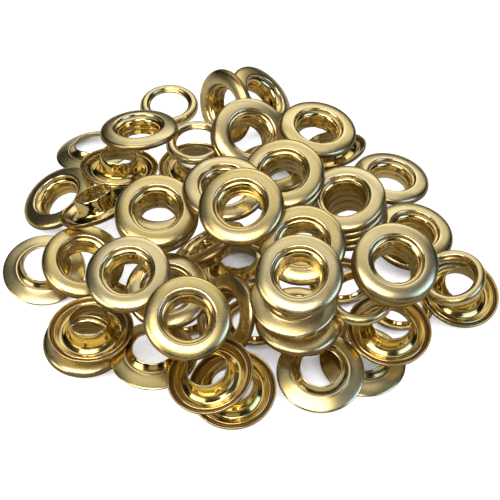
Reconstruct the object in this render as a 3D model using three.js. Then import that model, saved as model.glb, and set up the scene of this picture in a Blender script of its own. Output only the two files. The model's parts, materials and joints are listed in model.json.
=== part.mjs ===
import * as THREE from 'three';

// A heap of loose brass grommets and washers, in millimetres, +Z up, standing on z = 0.
// Every ring is a body of revolution. The layout below gives each ring's place in plan and how it
// leans, and each one is then lowered onto the rings under it, in the order of the list.

const GROMMET_RADIUS = 10;
const GROMMET_EDGE_WIDTH = 0.65;
const GROMMET_EDGE_HEIGHT = 1.3;
const GROMMET_CREST_RADIUS = 7;
const GROMMET_CREST_HEIGHT = 1.9;
const BARREL_LENGTH = 3.1;
const BARREL_END_RADIUS = 4.7;
const BARREL_FOOT_RADIUS = 5.65;
const BARREL_FOOT_HEIGHT = 0.5;

const NECK_WASHER_RADIUS = 10.1;
const NECK_FOOT_RADIUS = 6.3;
const NECK_FOOT_HEIGHT = 1.1;
const NECK_END_RADIUS = 4.6;
const NECK_HEIGHT = 2.7;

const SMALL_WASHER_RADIUS = 8;
const SMALL_WASHER_HOLE = 5.2;
const SMALL_WASHER_FLAT_INNER = 6.2;
const SMALL_WASHER_FLAT_OUTER = 7;
const SMALL_WASHER_HEIGHT = 1.6;
const SMALL_WASHER_STEP = 0.8;

const SHEET = 0.36;
const FOLD = 0.45;
const NEST_PITCH = 2.5;
const FACETS = 14;

const CLEARANCE = 0.3;
const CONTACT = 0.01;
const TEST_POINTS = 60;
const DROP_HEIGHT = 60;
const FAR_APART = 3;
const SETTLING_TRIES = 240;
const NUDGE_SHIFT = 0.9;
const NUDGE_LIFT = 1.2;
const NUDGE_TURN = 0.09;
const SHIFT_COST = 0.2;
const TURN_COST = 4;

const BRASS = { color: 0xcbb27a, roughness: 0.28, metalness: 1 };

// Closed outlines as [radius, height] corners. Height 0 is the plane of the ring's outer edge, the
// face is up, and a grommet's barrel points down. The outside comes first, then the inside of the
// sheet, a sheet's thickness or a fold away.
const GROMMET = {
  word: 'grommet',
  outline: [
    [GROMMET_RADIUS, 0],
    [GROMMET_RADIUS - GROMMET_EDGE_WIDTH, GROMMET_EDGE_HEIGHT],
    [GROMMET_CREST_RADIUS, GROMMET_CREST_HEIGHT],
    [BARREL_FOOT_RADIUS, BARREL_FOOT_HEIGHT],
    [BARREL_END_RADIUS, -BARREL_LENGTH],
    [BARREL_END_RADIUS + SHEET, -BARREL_LENGTH],
    [BARREL_FOOT_RADIUS + SHEET, SHEET],
    [GROMMET_CREST_RADIUS, GROMMET_CREST_HEIGHT - FOLD],
    [GROMMET_RADIUS - GROMMET_EDGE_WIDTH, 0],
  ],
};

const NECK_WASHER = {
  word: 'neck_washer',
  outline: [
    [NECK_WASHER_RADIUS, 0],
    [NECK_FOOT_RADIUS, NECK_FOOT_HEIGHT],
    [NECK_END_RADIUS + SHEET, NECK_HEIGHT],
    [NECK_END_RADIUS, NECK_HEIGHT],
    [NECK_FOOT_RADIUS - FOLD, NECK_FOOT_HEIGHT - FOLD],
    [NECK_WASHER_RADIUS, -SHEET],
  ],
};

const SMALL_WASHER = {
  word: 'washer',
  outline: [
    [SMALL_WASHER_RADIUS, 0],
    [SMALL_WASHER_RADIUS - SHEET, SMALL_WASHER_HEIGHT - FOLD],
    [SMALL_WASHER_FLAT_OUTER, SMALL_WASHER_HEIGHT],
    [SMALL_WASHER_FLAT_INNER, SMALL_WASHER_HEIGHT],
    [SMALL_WASHER_HOLE, SMALL_WASHER_STEP],
    [SMALL_WASHER_HOLE, SMALL_WASHER_STEP - FOLD],
    [SMALL_WASHER_FLAT_INNER, SMALL_WASHER_HEIGHT - FOLD],
    [SMALL_WASHER_RADIUS - FOLD, 0],
  ],
};

const UP = false;
const DOWN = true;
const LOOSE = 1;
const FIRM = 3;

// Each row: name, kind, x and y of the ring's centre, lean from level and compass heading of the
// lean in degrees (0 is +X, 90 is +Y), which way its face looks, how firmly it keeps that place
// when it settles, and how many more rings are nested under it.
const LAYOUT = [
  // rings on the floor, out of sight under the rest
  ['base_back', GROMMET, 6, 43, 0, 0, UP, FIRM, 0],
  ['base_back_left', GROMMET, -14, 46, 0, 0, DOWN, FIRM, 0],
  ['base_front', SMALL_WASHER, 1, -11, 0, 0, DOWN, FIRM, 0],
  ['base_left_rear', GROMMET, -23, 27, 0, 0, UP, FIRM, 0],
  ['base_middle', SMALL_WASHER, 22, 3, 0, 0, DOWN, FIRM, 0],
  ['base_left', SMALL_WASHER, -28, 6, 0, 0, DOWN, FIRM, 0],
  ['base_left_front', SMALL_WASHER, -16, -8, 0, 0, DOWN, FIRM, 0],
  ['base_right', SMALL_WASHER, 36, -6, 0, 0, DOWN, FIRM, 0],
  ['centre_upturned', GROMMET, -3, 8, 0, 0, DOWN, LOOSE, 0],
  // rings round the edge of the heap
  ['front_right_floor', NECK_WASHER, 26, -25, 10, -60, UP, FIRM, 0],
  ['front_stack_low', GROMMET, 14, -17, 5, -90, UP, LOOSE, 0],
  ['front_right', NECK_WASHER, 16, -31, 20, -90, UP, FIRM, 0],
  ['front_stack_mid', GROMMET, 12, -23, 10, -60, UP, LOOSE, 0],
  ['left_end', NECK_WASHER, -50, 5, 15, -90, UP, FIRM, 0],
  ['left_front_floor', GROMMET, -38, -21, 10, -90, UP, FIRM, 0],
  ['front_left', NECK_WASHER, -22, -27, 5, -90, UP, FIRM, 0],
  ['front_tip', GROMMET, -4, -36, 20, -90, DOWN, FIRM, 0],
  ['steep_middle', GROMMET, 0, -19, 65, -150, UP, LOOSE, 0],
  ['right_end', GROMMET, 50, -4, 20, -50, DOWN, FIRM, 0],
  ['right_end', SMALL_WASHER, 48, -4, 15, -125, UP, FIRM, 0],
  ['back_left_end', NECK_WASHER, -41, 52, 10, 135, UP, FIRM, 0],
  ['back_corner', SMALL_WASHER, -22, 73, 5, -90, UP, FIRM, 0],
  ['right_rear', GROMMET, 40, 14, 10, -35, UP, LOOSE, 1],
  ['back_ridge', GROMMET, 3, 69, 40, -10, UP, FIRM, 0],
  ['back_ridge_steep', GROMMET, -6, 63, 75, -140, UP, FIRM, 0],
  ['left_rear', GROMMET, -48, 29, 25, -165, UP, FIRM, 0],
  // second tier
  ['left_mid', GROMMET, -40, 2, 20, -75, UP, FIRM, 0],
  ['left_edge_on', GROMMET, -37, 15, 25, 140, DOWN, FIRM, 0],
  ['left_front', GROMMET, -36, -21, 5, -130, DOWN, LOOSE, 0],
  ['front_middle', GROMMET, -9, -36, 20, -130, DOWN, FIRM, 0],
  ['right_front', GROMMET, 32, -21, 15, -70, DOWN, FIRM, 0],
  ['right_back', GROMMET, 36, 38, 10, 0, UP, LOOSE, 0],
  ['back_middle', SMALL_WASHER, -14, 50, 5, -110, UP, FIRM, 0],
  ['back_right_edge', GROMMET, 20, 43, 20, 135, DOWN, FIRM, 0],
  ['back_top', GROMMET, 0, 45, 35, -65, UP, FIRM, 1],
  ['back_left_upturned', GROMMET, -34, 33, 10, 80, DOWN, FIRM, 0],
  ['back_left_top', GROMMET, -28, 41, 10, 110, UP, FIRM, 0],
  ['back_right_top', GROMMET, 17, 40, 10, -30, UP, FIRM, 0],
  // third tier
  ['centre_edge_on', GROMMET, -10, 6, 35, 145, UP, FIRM, 0],
  ['front_under', GROMMET, -15, -12, 20, -90, UP, FIRM, 0],
  ['right_rear_top', GROMMET, 23, 15, 15, -120, UP, FIRM, 3],
  ['rear_top', GROMMET, 9, 19, 20, -105, UP, FIRM, 1],
  ['right_middle', SMALL_WASHER, 25, -17, 10, -90, UP, FIRM, 0],
  ['right_top', GROMMET, 33, -15, 25, -75, UP, FIRM, 1],
  // top
  ['left_top', GROMMET, -22, 4, 20, -90, UP, FIRM, 1],
  ['centre_under', GROMMET, -6, 8, 10, -90, UP, FIRM, 0],
  ['left_centre', GROMMET, -28, -13, 20, -105, UP, FIRM, 0],
  ['front_stack_top', NECK_WASHER, 10, -20, 15, -90, UP, FIRM, 0],
  ['centre_right', GROMMET, 12, -11, 25, -100, UP, FIRM, 0],
  ['centre_top', GROMMET, -2, -3, 25, -105, UP, FIRM, 0],
  ['front_left_top', GROMMET, -14, -27, 30, -90, UP, FIRM, 0],
  ['front_right_top', GROMMET, 11, -22, 25, -95, UP, FIRM, 0],
];

// A repeatable stream of numbers between -1 and 1.
const SEED = 7;
const SEED_FACTOR = 16807;
const SEED_MODULUS = 2147483647;
let seed = SEED;
function chance() {
  seed = (seed * SEED_FACTOR) % SEED_MODULUS;
  return (2 * seed) / SEED_MODULUS - 1;
}

// Signed distance from a point beside the axis to a closed outline, negative inside it.
function outlineDistance(outline, r, z) {
  let nearest = Infinity;
  let inside = false;
  let r0 = outline[outline.length - 1][0];
  let z0 = outline[outline.length - 1][1];
  for (let i = 0; i < outline.length; i += 1) {
    const r1 = outline[i][0];
    const z1 = outline[i][1];
    const dr = r1 - r0;
    const dz = z1 - z0;
    const along = ((r - r0) * dr + (z - z0) * dz) / (dr * dr + dz * dz);
    const t = Math.min(1, Math.max(0, along));
    const er = r - r0 - t * dr;
    const ez = z - z0 - t * dz;
    nearest = Math.min(nearest, er * er + ez * ez);
    if (z0 > z !== z1 > z && r < r0 + (dr * (z - z0)) / dz) inside = !inside;
    r0 = r1;
    z0 = z1;
  }
  return inside ? -Math.sqrt(nearest) : Math.sqrt(nearest);
}

// Points all over a ring of this kind, in its own axes.
function surfacePoints(outline) {
  const points = [];
  for (const [r, z] of outline) {
    for (let i = 0; i < TEST_POINTS; i += 1) {
      const angle = (2 * Math.PI * i) / TEST_POINTS;
      points.push(new THREE.Vector3(r * Math.cos(angle), r * Math.sin(angle), z));
    }
  }
  return points;
}

// A ring in space: the centre of its edge, the turn that puts it there, and points all over it.
class Ring {
  constructor(name, kind, turn, centre) {
    this.name = `${name}_${kind.word}`;
    this.kind = kind;
    this.own = surfacePoints(kind.outline);
    this.reach = Math.max(...kind.outline.map(([r, z]) => Math.hypot(r, z)));
    this.points = new Float64Array(3 * this.own.length);
    this.place(turn, centre);
  }

  place(turn, centre) {
    this.turn = turn;
    this.centre = centre;
    this.axis = new THREE.Vector3(0, 0, 1).applyQuaternion(turn);
    this.lowest = Infinity;
    const point = new THREE.Vector3();
    this.own.forEach((own, i) => {
      point.copy(own).applyQuaternion(turn).toArray(this.points, 3 * i);
      this.lowest = Math.min(this.lowest, point.z);
    });
  }

  // The least distance from this ring's points to the other ring's surface.
  pointsTo(other) {
    const ox = this.centre.x - other.centre.x;
    const oy = this.centre.y - other.centre.y;
    const oz = this.centre.z - other.centre.z;
    const ax = other.axis.x;
    const ay = other.axis.y;
    const az = other.axis.z;
    let least = Infinity;
    for (let i = 0; i < this.points.length; i += 3) {
      const x = this.points[i] + ox;
      const y = this.points[i + 1] + oy;
      const z = this.points[i + 2] + oz;
      const height = x * ax + y * ay + z * az;
      const square = x * x + y * y + z * z;
      if (square < (other.reach + least) ** 2) {
        const radius = Math.sqrt(Math.max(0, square - height * height));
        least = Math.min(least, outlineDistance(other.kind.outline, radius, height));
      }
    }
    return least;
  }

  distanceTo(other) {
    const apart = this.centre.distanceTo(other.centre) - this.reach - other.reach;
    if (apart > FAR_APART) return apart;
    return Math.min(this.pointsTo(other), other.pointsTo(this));
  }
}

// How far a group of rings can move in any direction before it meets the floor or a settled ring.
function room(group, settled) {
  let least = Infinity;
  for (const ring of group) {
    least = Math.min(least, ring.centre.z + ring.lowest);
    for (const other of settled) least = Math.min(least, ring.distanceTo(other) - CLEARANCE);
  }
  return least;
}

function shift(group, rise) {
  for (const ring of group) ring.centre.z += rise;
}

// Lowers a group of rings together until one of them meets the floor or comes near a settled ring.
function lower(group, settled) {
  for (let free = room(group, settled); free > CONTACT; free = room(group, settled)) shift(group, -free);
}

// The group of nested rings with its first ring's edge centred on a point.
function poseGroup(group, turn, centre) {
  const axis = new THREE.Vector3(0, 0, 1).applyQuaternion(turn);
  group.forEach((ring, i) => {
    ring.place(turn, centre.clone().addScaledVector(axis, -i * NEST_PITCH));
  });
}

// Lowers a group, then tries small shifts and turns, keeping each one that lets it sink further
// for the distance it strays from the place asked of it.
function settle(group, settled, turn, centre, hold) {
  const strayed = () => {
    const away = Math.hypot(group[0].centre.x - centre.x, group[0].centre.y - centre.y);
    const turned = group[0].turn.angleTo(turn);
    return group[0].centre.z + hold * (SHIFT_COST * away + TURN_COST * turned);
  };
  poseGroup(group, turn, centre.clone().setZ(DROP_HEIGHT));
  lower(group, settled);
  let best = strayed();
  for (let i = 0; i < SETTLING_TRIES; i += 1) {
    const kept = group[0];
    const keptTurn = kept.turn;
    const keptCentre = kept.centre;
    const size = 1 - i / SETTLING_TRIES;
    const nudge = new THREE.Vector3(chance(), chance(), 0).multiplyScalar(NUDGE_SHIFT * size);
    const spin = new THREE.Vector3(chance(), chance(), 0).multiplyScalar(NUDGE_TURN * size);
    nudge.z = NUDGE_LIFT;
    const tip = new THREE.Quaternion().setFromAxisAngle(spin.clone().normalize(), spin.length());
    poseGroup(group, tip.multiply(keptTurn), keptCentre.clone().add(nudge));
    if (room(group, settled) > 0) lower(group, settled);
    else shift(group, DROP_HEIGHT);
    const cost = strayed();
    if (cost < best) best = cost;
    else poseGroup(group, keptTurn, keptCentre);
  }
}

function layOut() {
  const settled = [];
  for (const [name, kind, x, y, lean, heading, faceDown, hold, nested] of LAYOUT) {
    const bearing = THREE.MathUtils.degToRad(heading);
    const hinge = new THREE.Vector3(-Math.sin(bearing), Math.cos(bearing), 0);
    const turn = new THREE.Quaternion().setFromAxisAngle(hinge, THREE.MathUtils.degToRad(lean));
    if (faceDown) turn.multiply(new THREE.Quaternion(1, 0, 0, 0));
    const centre = new THREE.Vector3(x, y, 0);
    const group = [];
    for (let i = 0; i <= nested; i += 1) {
      group.push(new Ring(i === 0 ? name : `${name}_nested_${i}`, kind, turn, centre));
    }
    settle(group, settled, turn, centre, hold);
    settled.push(...group);
  }
  return settled;
}

function ringGeometry(kind) {
  const profile = kind.outline.map(([r, z]) => new THREE.Vector2(r, z));
  profile.push(profile[0].clone());
  const geometry = new THREE.LatheGeometry(profile, FACETS);
  geometry.rotateX(Math.PI / 2);
  return geometry;
}

const heap = new THREE.Group();
for (const ring of layOut()) {
  const mesh = new THREE.Mesh(ringGeometry(ring.kind), new THREE.MeshStandardMaterial(BRASS));
  mesh.name = ring.name;
  mesh.position.copy(ring.centre);
  mesh.quaternion.copy(ring.turn);
  heap.add(mesh);
}

// The origin is the middle of the heap's footprint.
const box = new THREE.Box3().setFromObject(heap, true);
const middle = box.getCenter(new THREE.Vector3());
for (const mesh of heap.children) {
  mesh.position.x -= middle.x;
  mesh.position.y -= middle.y;
  mesh.position.z -= box.min.z;
}

export default heap;
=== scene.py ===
"""A heap of loose brass grommets and washers, each one a fine spun ring where its CAD ring lies."""

import json
import math
import random

import bpy
import numpy as np
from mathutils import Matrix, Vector


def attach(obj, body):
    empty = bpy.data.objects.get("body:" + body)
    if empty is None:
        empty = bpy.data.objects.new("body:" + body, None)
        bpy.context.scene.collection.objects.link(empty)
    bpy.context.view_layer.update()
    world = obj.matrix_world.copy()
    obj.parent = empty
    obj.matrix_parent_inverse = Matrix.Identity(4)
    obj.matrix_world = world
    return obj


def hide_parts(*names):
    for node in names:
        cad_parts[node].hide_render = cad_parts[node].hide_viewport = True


MM = 0.001
SEED = 41

# Camera: looks along +Y and down, at a point inside the front of the heap.
CAMERA_ELEVATION = 42.0
CAMERA_DISTANCE = 420 * MM
CAMERA_AIM = Vector((0.14, -15.74, 12.12)) * MM
LENS = 127.0
SENSOR = 36.0
NEAREST_SEEN = 10 * MM
FURTHEST_SEEN = 50.0

FLOOR_HALF_WIDTH = 160 * MM
FLOOR_HEIGHT = -0.15 * MM
FLOOR_SHADE_REACH = 45 * MM
FLOOR_GREY = (0.62, 0.60, 0.57, 1)
FLOOR_PALE = (0.66, 0.64, 0.61, 1)
FLOOR_GLOW = 1.3
FLOOR_GLOW_SHARE = 0.90

# Soft lights round the heap: name, bearing, rise, distance, width, height, radiance and colour.
# Bearings are degrees from +Y towards +X, rises are degrees above the floor, lengths are metres.
SOFTBOXES = [
    ("overhead", 10, 80, 1.0, 1.0, 0.6, 0.80, (1.0, 0.97, 0.90)),
    ("back_wall", 15, 37, 1.1, 1.3, 0.6, 0.95, (1.0, 0.98, 0.90)),
    ("near_back_panel", -10, 54, 0.36, 0.45, 0.26, 0.42, (1.0, 0.99, 0.92)),
    ("front_window", 200, 55, 1.0, 0.8, 0.36, 5.0, (1.0, 0.97, 0.90)),
    ("left_window", 238, 22, 1.0, 0.55, 0.42, 3.6, (1.0, 0.96, 0.84)),
    ("right_window", 116, 28, 1.0, 0.6, 0.5, 3.2, (0.38, 0.57, 1.0)),
    ("front_wall", 180, 20, 1.1, 0.6, 0.4, 0.40, (1.0, 0.90, 0.74)),
]
LIGHTS_AIM = Vector((0, 0, 10)) * MM

# The dim room that the metal reflects: one colour below the low height, another above the high one,
# and a blend between them. A height here is the sine of the angle above the floor.
ROOM_LOW = 0.35
ROOM_LOW_COLOUR = (0.004, 0.004, 0.005, 1)
ROOM_HIGH = 0.9
ROOM_HIGH_COLOUR = (0.06, 0.057, 0.05, 1)
WHITE = (1, 1, 1, 1)

PALE_BRASS = (0.84, 0.73, 0.45, 1)
WARM_BRASS = (0.83, 0.65, 0.25, 1)
# Deeper gold of polished metal, painted as warm shade in the funnel, barrel and underside.
DEEP_BRASS_AND_SHADE = (0.81, 0.57, 0.13, 1)
# Tarnish, also painted as shade in grooves, under the outer edge and in dimples.
TARNISH_AND_SHADE = (0.20, 0.09, 0.02, 1)
# Pale rubbed brass, also painted on ridges as a painted highlight.
RUBBED_AND_HIGHLIGHT = (0.92, 0.84, 0.64, 1)
SPECK = (0.42, 0.33, 0.20, 1)

# Noise sizes of the brass, in cycles per metre.
BLOTCH_SCALE = 260.0
DENT_SCALE = 420.0
STAIN_SCALE = 620.0
GRAIN_SCALE = 2600.0

# The turning lines' pattern: how often it changes round the ring, along its outline and from ring
# to ring.
LINES_ROUND = 5.0
LINES_ALONG = 160.0
LINES_EACH = 40.0

# Relief and finish of the brass.
FINE_DEPTH = 0.02 * MM
FINE_STRENGTH = 0.025
DENT_DEPTH = 0.08 * MM
DENT_STRENGTH = 0.05
SATIN_ROUGHNESS = 0.28
POLISHED_ROUGHNESS = 0.10

# Every ring's outline, in mm, as (radius, height, satin, wear and painted light). Height 0 is the
# plane of its outer edge and the face is up. Satin is 1 on the brushed band and 0 on polished metal,
# which is painted deeper gold as painted shade. The fourth number above 0 is how much a ridge is
# rubbed bright with a painted highlight, and below 0 how much tarnish and painted shade a groove or the
# outer wall under the edge holds.
GROMMET_OUTLINE = [
    (4.56, -3.08, 0.1, 0.2),
    (4.62, -2.40, 0.2, 0.0),
    (4.66, -1.70, 0.2, -0.3),
    (4.78, -1.45, 0.2, 0.3),
    (4.76, -0.80, 0.2, 0.0),
    (4.82, -0.45, 0.2, -0.3),
    (4.93, -0.10, 0.1, 0.3),
    (5.04, 0.36, 0.1, 0.2),
    (5.20, 0.66, 0.2, 0.3),
    (5.42, 0.90, 0.3, 0.3),
    (5.68, 1.06, 0.3, 0.1),
    (5.92, 1.14, 0.2, -0.4),
    (6.08, 1.22, 0.2, -0.9),
    (6.18, 1.40, 0.2, -0.5),
    (6.28, 1.66, 0.2, 0.6),
    (6.46, 1.84, 0.3, 1.0),
    (6.76, 1.90, 0.7, 0.3),
    (7.20, 1.87, 1.0, 0.0),
    (7.70, 1.81, 1.0, 0.0),
    (8.20, 1.71, 1.0, 0.0),
    (8.70, 1.57, 1.0, 0.0),
    (9.14, 1.40, 0.9, 0.0),
    (9.50, 1.20, 0.7, 0.0),
    (9.76, 0.94, 0.5, -0.6),
    (9.91, 0.58, 0.3, -1.0),
    (9.98, 0.20, 0.2, -1.0),
    (9.90, -0.04, 0.2, 0.3),
    (9.72, -0.04, 0.2, 0.6),
    (9.56, 0.10, 0.2, 0.0),
    (9.42, 0.42, 0.3, -0.9),
    (9.24, 0.76, 0.4, -1.0),
    (9.04, 0.90, 0.4, -1.0),
    (8.86, 0.84, 0.3, -1.0),
    (8.74, 0.58, 0.3, -0.2),
    (8.56, 0.38, 0.3, 0.8),
    (8.32, 0.46, 0.5, 0.3),
    (7.95, 0.86, 0.5, 0.2),
    (7.45, 1.20, 0.5, 0.2),
    (7.00, 1.34, 0.3, 0.2),
    (6.62, 1.24, 0.1, 0.0),
    (6.30, 1.05, 0.0, 0.0),
    (6.00, 0.87, 0.0, -0.2),
    (5.74, 0.70, 0.1, -0.6),
    (5.52, 0.44, 0.1, -0.3),
    (5.36, 0.10, 0.0, 0.0),
    (5.22, -0.50, 0.0, 0.0),
    (5.10, -1.10, 0.0, 0.0),
    (5.00, -1.80, 0.0, 0.0),
    (4.88, -2.50, 0.0, 0.0),
    (4.73, -3.00, 0.1, 0.4),
    (4.64, -3.12, 0.2, 0.9),
]

NECK_WASHER_OUTLINE = [
    (4.62, 2.58, 0.2, 0.4),
    (4.76, 2.74, 0.2, 0.9),
    (4.94, 2.68, 0.2, 0.7),
    (5.12, 2.42, 0.2, 0.1),
    (5.32, 2.13, 0.3, 0.0),
    (5.56, 1.84, 0.3, 0.0),
    (5.80, 1.59, 0.3, 0.0),
    (6.02, 1.38, 0.3, -0.3),
    (6.22, 1.20, 0.3, -0.9),
    (6.42, 1.12, 0.3, -0.6),
    (6.60, 1.15, 0.3, 0.6),
    (6.80, 1.14, 0.5, 0.6),
    (7.04, 1.03, 0.8, -0.2),
    (7.50, 0.88, 1.0, 0.0),
    (8.00, 0.74, 1.0, 0.0),
    (8.70, 0.54, 1.0, 0.0),
    (9.30, 0.34, 1.0, 0.0),
    (9.80, 0.15, 0.8, 0.1),
    (10.04, 0.00, 0.5, 0.6),
    (10.09, -0.14, 0.4, 0.4),
    (10.00, -0.30, 0.3, 0.0),
    (9.70, -0.24, 0.3, 0.0),
    (9.10, -0.08, 0.2, 0.0),
    (8.30, 0.14, 0.2, 0.0),
    (7.50, 0.36, 0.2, 0.0),
    (6.80, 0.54, 0.1, 0.0),
    (6.24, 0.66, 0.1, -0.3),
    (5.88, 0.82, 0.1, -0.4),
    (5.60, 1.08, 0.0, 0.0),
    (5.36, 1.40, 0.0, 0.0),
    (5.12, 1.76, 0.0, 0.0),
    (4.90, 2.12, 0.0, 0.0),
    (4.72, 2.40, 0.1, 0.2),
]

SMALL_WASHER_OUTLINE = [
    (5.22, 0.42, 0.1, 0.0),
    (5.19, 0.62, 0.1, 0.4),
    (5.26, 0.82, 0.2, 0.3),
    (5.50, 0.98, 0.3, -0.4),
    (5.74, 1.16, 0.3, -0.5),
    (5.96, 1.40, 0.3, 0.2),
    (6.20, 1.56, 0.5, 0.9),
    (6.52, 1.62, 0.9, 0.3),
    (6.90, 1.60, 1.0, 0.0),
    (7.26, 1.46, 1.0, 0.0),
    (7.56, 1.20, 0.8, 0.0),
    (7.80, 0.84, 0.5, 0.0),
    (7.93, 0.48, 0.4, 0.2),
    (7.98, 0.16, 0.3, 0.3),
    (7.90, 0.00, 0.2, 0.4),
    (7.66, 0.00, 0.2, 0.4),
    (7.50, 0.22, 0.2, -0.4),
    (7.34, 0.62, 0.3, -0.8),
    (7.02, 1.00, 0.2, -0.4),
    (6.62, 1.16, 0.1, 0.0),
    (6.20, 1.08, 0.1, 0.0),
    (5.80, 0.78, 0.1, 0.0),
    (5.50, 0.50, 0.1, 0.2),
    (5.32, 0.36, 0.1, 0.4),
]

# Kinds by the end of the node's name: outline, segments round the ring, and whether it has a barrel.
KINDS = {
    "_neck_washer": (NECK_WASHER_OUTLINE, 96, False),
    "_grommet": (GROMMET_OUTLINE, 96, True),
    "_washer": (SMALL_WASHER_OUTLINE, 80, False),
}
STEPS_BETWEEN_POINTS = 2

# The CAD rings have flat sides, so a round ring lies between their corners and their flats.
TRIM = 0.995

# CAD points this near the widest radius belong to a ring's outer edge.
EDGE_MARGIN = 0.05 * MM

# How far the rings are out of true. The waves are counted round the ring, and heights are in mm.
MOST_OVAL = 0.006
WARP_WAVES = (2, 3, 5)
WARP_HEIGHT = 0.02
WARP_RADIUS = 10
RAGGED_WAVES = (7, 11, 17)
RAGGED_HEIGHT = 0.07
RAGGED_TOP = -2.3
RAGGED_LENGTH = 0.8

# Small dimples pressed into the barrel's foot from outside, in mm.
DIMPLES = 6
DIMPLE_RADIUS = 5.2
DIMPLE_HEIGHT = -0.50
DIMPLE_WIDTH = 0.60
DIMPLE_DEPTH = 0.30
# How much darker a dimple is painted: painted shade in its hollow.
DIMPLE_SHADE = 1.8


def kind_of(name):
    """The outline, segments and barrel of the ring with this node name."""
    return next(kind for ending, kind in KINDS.items() if name.endswith(ending))


def ring_pose(node, has_barrel):
    """The centre of a CAD ring's edge plane and its face's direction, from the ring's own mesh.

    The longer side of a ring with a barrel is its back, and of any other ring its face.
    """
    points = np.array([vertex.co[:] for vertex in node.data.vertices])
    points = np.unique(np.round(points, 7), axis=0)
    middle = points.mean(axis=0)
    axis = np.linalg.eigh(np.cov((points - middle).T))[1][:, 0]
    heights = (points - middle) @ axis
    radii = np.linalg.norm(points - middle - np.outer(heights, axis), axis=1)
    edge = heights[radii > radii.max() - EDGE_MARGIN]
    longer_above = heights.max() - edge.max() > edge.min() - heights.min()
    if longer_above == has_barrel:
        axis = -axis
        edge = -edge
    return Vector(middle + axis * edge.max()), Vector(axis)


def smooth_outline(outline, steps):
    """The closed outline with extra points on a curve through its corners."""
    corners = np.array(outline)
    rows = []
    for i in range(len(corners)):
        a, b, c, d = (corners[(i + k) % len(corners)] for k in (-1, 0, 1, 2))
        for step in range(steps):
            t = step / steps
            rows.append(
                0.5
                * (
                    2 * b
                    + (c - a) * t
                    + (2 * a - 5 * b + 4 * c - d) * t * t
                    + (3 * b - a - 3 * c + d) * t * t * t
                )
            )
    return np.array(rows)


def bend_ring(radius, height, wear_and_painted_light, angle, has_barrel, chance):
    """The ring's radii, heights, and its rubbing, tarnish and painted light, after it is put a little
    out of true and its barrel dimpled with painted shade.
    """
    spin = chance.uniform(0, 2 * math.pi)
    oval = chance.uniform(0.0, MOST_OVAL)
    oval_at = chance.uniform(0, math.pi)
    waves = [(k, chance.uniform(0, 2 * math.pi), chance.uniform(0.3, 1)) for k in WARP_WAVES]
    ragged = [(k, chance.uniform(0, 2 * math.pi)) for k in RAGGED_WAVES]

    warp = sum(size * np.cos(k * angle + phase) for k, phase, size in waves)
    height = height + WARP_HEIGHT * warp * (radius / WARP_RADIUS) ** 2
    radius = radius * (1 - oval * (1 + np.cos(2 * (angle - oval_at))) / 2)
    if not has_barrel:
        return radius, height, wear_and_painted_light

    near_end = np.clip((RAGGED_TOP - height) / RAGGED_LENGTH, 0, 1)
    teeth = sum(np.cos(k * angle + phase) for k, phase in ragged) / len(ragged)
    height = height + RAGGED_HEIGHT * near_end * teeth
    widest_row = np.argmax(radius[:, 0])
    outside = (np.arange(len(radius)) > widest_row)[:, None]
    for i in range(DIMPLES):
        at = spin + 2 * math.pi * i / DIMPLES
        across = DIMPLE_RADIUS * np.angle(np.exp(1j * (angle - at)))
        upward = height - DIMPLE_HEIGHT
        dent = np.exp(-(across**2 + upward**2) / (2 * (DIMPLE_WIDTH / 2) ** 2))
        radius = radius - DIMPLE_DEPTH * dent * outside
        # Each dimple is painted darker, as painted shade in its hollow.
        wear_and_painted_light = wear_and_painted_light - DIMPLE_SHADE * dent * outside
    return radius, height, wear_and_painted_light


def ring_mesh(name, kind, centre, axis, chance):
    """A closed fine ring at that pose, a little out of true, with its satin, wear_and_painted_light,
    tone, turn and along values as mesh attributes.
    """
    outline, around, has_barrel = kind
    rows = smooth_outline(outline, STEPS_BETWEEN_POINTS)
    count = len(rows)
    turns = np.arange(around) / around
    angle = np.repeat(2 * math.pi * turns[None, :], count, axis=0)
    outline_radius, outline_height, satin, outline_wear_and_light = (
        np.repeat(column[:, None], around, axis=1) for column in rows.T
    )
    radius, height, wear_and_painted_light = bend_ring(
        TRIM * outline_radius, outline_height, outline_wear_and_light, angle, has_barrel, chance
    )
    tone = chance.uniform(0, 1)

    side = axis.orthogonal().normalized()
    other = axis.cross(side)
    x = radius * np.cos(angle)
    y = radius * np.sin(angle)
    places = (
        np.array(centre)
        + MM * x[:, :, None] * np.array(side)
        + MM * y[:, :, None] * np.array(other)
        + MM * height[:, :, None] * np.array(axis)
    )
    index = np.arange(count * around).reshape(count, around)
    next_row = np.roll(index, -1, axis=0)
    corners = [np.roll(index, -1, axis=1), np.roll(next_row, -1, axis=1), next_row, index]
    faces = np.stack(corners, axis=2).reshape(-1, 4)
    mesh = bpy.data.meshes.new(name)
    mesh.from_pydata(places.reshape(-1, 3).tolist(), [], faces.tolist())
    mesh.polygons.foreach_set("use_smooth", [True] * len(mesh.polygons))
    finish_and_light = {
        "satin": np.clip(satin, 0, 1).reshape(-1),
        "wear_and_painted_light": np.clip(wear_and_painted_light, -1, 1).reshape(-1),
        "tone": np.full(count * around, tone),
        "turn": np.tile(turns, count),
        "along": np.repeat(np.arange(count) / count, around),
    }
    for key, numbers in finish_and_light.items():
        layer = mesh.attributes.new(key, "FLOAT", "POINT")
        layer.data.foreach_set("value", numbers.astype(np.float32))
    mesh.update()
    return mesh


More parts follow.
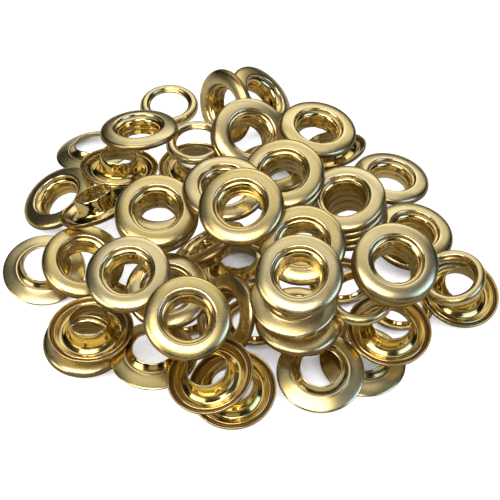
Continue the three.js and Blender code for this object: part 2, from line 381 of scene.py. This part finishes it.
class Nodes:
    """Short calls for building the node tree of a material or a world from nothing."""

    def __init__(self, owner):
        owner.use_nodes = True
        self.tree = owner.node_tree
        self.tree.nodes.clear()

    def add(self, kind, inputs=None, **settings):
        node = self.tree.nodes.new(kind)
        for key, value in settings.items():
            setattr(node, key, value)
        for key, value in (inputs or {}).items():
            self.put(node.inputs[key], value)
        return node

    def put(self, socket, value):
        if isinstance(value, bpy.types.NodeSocket):
            self.tree.links.new(value, socket)
        else:
            socket.default_value = value

    def attribute(self, name):
        return self.add("ShaderNodeAttribute", attribute_name=name).outputs["Fac"]

    def position(self):
        return self.add("ShaderNodeTexCoord").outputs["Object"]

    def is_camera_ray(self):
        return self.add("ShaderNodeLightPath").outputs["Is Camera Ray"]

    def math(self, operation, a, b=0.0, clamp=False):
        node = self.add("ShaderNodeMath", {0: a, 1: b}, operation=operation, use_clamp=clamp)
        return node.outputs[0]

    def noise(self, place, scale, detail=3.0, roughness=0.5):
        inputs = {"Vector": place, "Scale": scale, "Detail": detail, "Roughness": roughness}
        return self.add("ShaderNodeTexNoise", inputs).outputs["Fac"]

    def remap(self, value, low, high, to_low=0.0, to_high=1.0):
        inputs = {"Value": value, "From Min": low, "From Max": high, "To Min": to_low, "To Max": to_high}
        return self.add("ShaderNodeMapRange", inputs).outputs["Result"]

    def bump(self, height, strength, depth, normal=None):
        inputs = {"Height": height, "Strength": strength, "Distance": depth}
        if normal is not None:
            inputs["Normal"] = normal
        return self.add("ShaderNodeBump", inputs).outputs[0]

    def mix(self, factor, a, b):
        """A blend from colour a to colour b, which are the mix node's inputs 6 and 7."""
        node = self.add("ShaderNodeMix", data_type="RGBA")
        self.put(node.inputs[0], factor)
        self.put(node.inputs[6], a)
        self.put(node.inputs[7], b)
        return node.outputs[2]


def brass_colour(n, grain, blotch, dirt_and_shade):
    """Pale brass on satin bands and deeper gold as painted shade on shiny metal, worn pale with painted
    highlights on ridges, stained, with painted shade in grooves, and speckled.
    """
    satin = n.attribute("satin")
    tone = n.math("MULTIPLY", n.attribute("tone"), 0.55)
    warmth = n.math("ADD", tone, n.remap(blotch, 0.35, 0.65, 0.0, 0.45), clamp=True)
    band = n.mix(warmth, PALE_BRASS, WARM_BRASS)
    # Polished metal, mostly in the funnel, barrel and underside, is painted deeper gold as painted
    # shade.
    polished_and_shaded = n.mix(n.math("MULTIPLY", warmth, 0.8), WARM_BRASS, DEEP_BRASS_AND_SHADE)
    colour = n.mix(n.remap(satin, 0.0, 1.0, 0.25, 1.0), polished_and_shaded, band)
    # Ridges are painted pale: partly rubbed brass, partly a painted highlight.
    rubbed_and_highlight = n.math("MULTIPLY", n.remap(n.attribute("wear_and_painted_light"), 0.0, 1.0), 0.7)
    colour = n.mix(rubbed_and_highlight, colour, RUBBED_AND_HIGHLIGHT)
    # Stains and grooves are darkened: real tarnish in stains, tarnish and painted shade in grooves.
    colour = n.mix(dirt_and_shade, colour, TARNISH_AND_SHADE)
    speck = n.math("MULTIPLY", satin, n.remap(grain, 0.42, 0.62, 0.0, 0.16))
    return n.mix(speck, colour, SPECK)


def brass_roughness(n, grain, blotch, dirt_and_shade):
    """Satin bands and tarnish are rougher than polished metal."""
    rough = n.remap(n.attribute("satin"), 0.0, 1.0, POLISHED_ROUGHNESS, SATIN_ROUGHNESS)
    rough = n.math("ADD", rough, n.remap(grain, 0.3, 0.7, -0.02, 0.03))
    rough = n.math("ADD", rough, n.math("MULTIPLY", dirt_and_shade, 0.25))
    return n.math("ADD", rough, n.remap(blotch, 0.3, 0.7, -0.02, 0.04), clamp=True)


def brass_bump(n, place, grain):
    """Fine turning lines round the ring and grain, then wide shallow dents."""
    satin = n.attribute("satin")
    round_it = n.math("MULTIPLY", n.attribute("turn"), LINES_ROUND)
    along_it = n.math("MULTIPLY", n.attribute("along"), LINES_ALONG)
    own = n.math("MULTIPLY", n.attribute("tone"), LINES_EACH)
    streak_place = n.add("ShaderNodeCombineXYZ", {0: round_it, 1: along_it, 2: own})
    streak = n.noise(streak_place.outputs[0], 1.0, 3.0, 0.55)
    lines = n.math("MULTIPLY", streak, n.remap(satin, 0.0, 1.0, 0.25, 1.0))
    grit = n.math("MULTIPLY", grain, n.remap(satin, 0.0, 1.0, 0.05, 0.5))
    fine = n.bump(n.math("ADD", lines, grit), FINE_STRENGTH, FINE_DEPTH)
    dents = n.noise(place, DENT_SCALE, 1.0, 0.4)
    return n.bump(dents, DENT_STRENGTH, DENT_DEPTH, fine)


def brass_material():
    """Spun brass that follows each ring's satin, wear_and_painted_light, tone, turn and along
    attributes.
    """
    material = bpy.data.materials.new("spun_brass")
    n = Nodes(material)
    place = n.position()
    blotch = n.noise(place, BLOTCH_SCALE, 4.0, 0.6)
    grain = n.noise(place, GRAIN_SCALE, 3.0, 0.6)
    stains = n.remap(n.noise(place, STAIN_SCALE, 5.0, 0.65), 0.62, 0.8, 0.0, 0.10)
    # Negative values darken grooves, the outer wall under the edge and dimples: tarnish and painted
    # shade.
    groove_tarnish_and_shade = n.math("MULTIPLY", n.remap(n.attribute("wear_and_painted_light"), 0.0, -1.0), 0.85)
    dirt_and_shade = n.math("MAXIMUM", stains, groove_tarnish_and_shade)
    surface = {
        "Base Color": brass_colour(n, grain, blotch, dirt_and_shade),
        "Roughness": brass_roughness(n, grain, blotch, dirt_and_shade),
        "Metallic": 1.0,
        "Normal": brass_bump(n, place, grain),
    }
    shader = n.add("ShaderNodeBsdfPrincipled", surface)
    n.add("ShaderNodeOutputMaterial", {"Surface": shader.outputs[0]})
    return material


def floor_material():
    """Plain pale floor: it glows white to the camera, and is matte where the heap covers it."""
    material = bpy.data.materials.new("pale_floor")
    n = Nodes(material)
    speckle = n.noise(n.position(), 30.0, 3.0, 0.5)
    matte = n.add("ShaderNodeBsdfDiffuse", {"Color": n.mix(speckle, FLOOR_GREY, FLOOR_PALE)})
    glow = n.add("ShaderNodeEmission", {"Color": WHITE, "Strength": FLOOR_GLOW})
    open_sky = n.add("ShaderNodeAmbientOcclusion", {"Distance": FLOOR_SHADE_REACH}, samples=8)
    uncovered = n.remap(open_sky.outputs["AO"], 0.06, 0.18)
    share = n.math("MULTIPLY", uncovered, n.remap(n.is_camera_ray(), 0.0, 1.0, 0.0, FLOOR_GLOW_SHARE))
    mixed = n.add("ShaderNodeMixShader", {0: share, 1: matte.outputs[0], 2: glow.outputs[0]})
    n.add("ShaderNodeOutputMaterial", {"Surface": mixed.outputs[0]})
    return material


def add_floor():
    half = FLOOR_HALF_WIDTH
    square = [(-half, -half), (half, -half), (half, half), (-half, half)]
    corners = [(x, y, FLOOR_HEIGHT) for x, y in square]
    mesh = bpy.data.meshes.new("floor")
    mesh.from_pydata(corners, [], [(0, 1, 2, 3)])
    mesh.materials.append(floor_material())
    floor = bpy.data.objects.new("floor", mesh)
    bpy.context.collection.objects.link(floor)


def add_softbox(name, bearing, rise, distance, width, height, radiance, colour):
    """A soft rectangular light that faces the heap and that the camera doesn't see."""
    around = math.radians(bearing)
    up = math.radians(rise)
    out = Vector((math.sin(around) * math.cos(up), math.cos(around) * math.cos(up), math.sin(up)))
    light = bpy.data.lights.new(name, "AREA")
    light.shape = "RECTANGLE"
    light.size = width
    light.size_y = height
    light.energy = radiance * math.pi * width * height
    light.color = colour
    lamp = bpy.data.objects.new(name, light)
    lamp.location = distance * out + LIGHTS_AIM
    lamp.rotation_mode = "QUATERNION"
    lamp.rotation_quaternion = (-out).to_track_quat("-Z", "Y")
    lamp.visible_camera = False
    bpy.context.collection.objects.link(lamp)


def add_room():
    """A dim room for the metal to reflect, which the camera sees as white."""
    world = bpy.data.worlds.new("room")
    n = Nodes(world)
    direction = n.add("ShaderNodeTexCoord").outputs["Generated"]
    split = n.add("ShaderNodeSeparateXYZ", {0: direction})
    ramp = n.add("ShaderNodeValToRGB", {0: split.outputs["Z"]})
    low, high = ramp.color_ramp.elements
    low.position = ROOM_LOW
    low.color = ROOM_LOW_COLOUR
    high.position = ROOM_HIGH
    high.color = ROOM_HIGH_COLOUR
    colour = n.mix(n.is_camera_ray(), ramp.outputs[0], WHITE)
    background = n.add("ShaderNodeBackground", {"Color": colour})
    n.add("ShaderNodeOutputWorld", {"Surface": background.outputs[0]})
    bpy.context.scene.world = world


def add_camera():
    """A camera that looks down at the heap along +Y."""
    camera = bpy.data.cameras.new("camera")
    camera.lens = LENS
    camera.sensor_width = SENSOR
    camera.clip_start = NEAREST_SEEN
    camera.clip_end = FURTHEST_SEEN
    mount = bpy.data.objects.new("camera", camera)
    rise = math.radians(CAMERA_ELEVATION)
    back = Vector((0, -math.cos(rise), math.sin(rise)))
    mount.location = CAMERA_AIM + CAMERA_DISTANCE * back
    mount.rotation_mode = "QUATERNION"
    mount.rotation_quaternion = (-back).to_track_quat("-Z", "Y")
    bpy.context.collection.objects.link(mount)
    bpy.context.scene.camera = mount


def add_rings(frame):
    """One fine ring for each CAD ring, riding on the CAD ring's body."""
    body_of_node = {}
    for body, members in frame["record"]["behaviour"]["bodies"].items():
        for member in members:
            body_of_node[member] = body
    brass = brass_material()
    chance = random.Random(SEED)
    for node_name in sorted(frame["nodes"]):
        kind = kind_of(node_name)
        has_barrel = kind[2]
        centre, axis = ring_pose(frame["nodes"][node_name], has_barrel)
        mesh = ring_mesh(node_name + "_brass", kind, centre, axis, chance)
        mesh.materials.append(brass)
        ring = bpy.data.objects.new(node_name + "_brass", mesh)
        bpy.context.collection.objects.link(ring)
        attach(ring, body_of_node[node_name])
        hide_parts(node_name)


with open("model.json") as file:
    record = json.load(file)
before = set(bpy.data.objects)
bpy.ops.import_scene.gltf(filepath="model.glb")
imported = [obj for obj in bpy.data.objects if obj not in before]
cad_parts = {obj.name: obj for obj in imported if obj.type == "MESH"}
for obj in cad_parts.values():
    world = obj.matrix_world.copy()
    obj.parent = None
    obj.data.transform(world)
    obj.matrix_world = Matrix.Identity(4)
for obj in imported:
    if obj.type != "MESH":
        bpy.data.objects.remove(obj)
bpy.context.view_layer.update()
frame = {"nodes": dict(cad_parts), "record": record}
add_camera()
for softbox in SOFTBOXES:
    add_softbox(*softbox)
add_room()
add_floor()
add_rings(frame)
bpy.context.scene.view_settings.view_transform = "Standard"
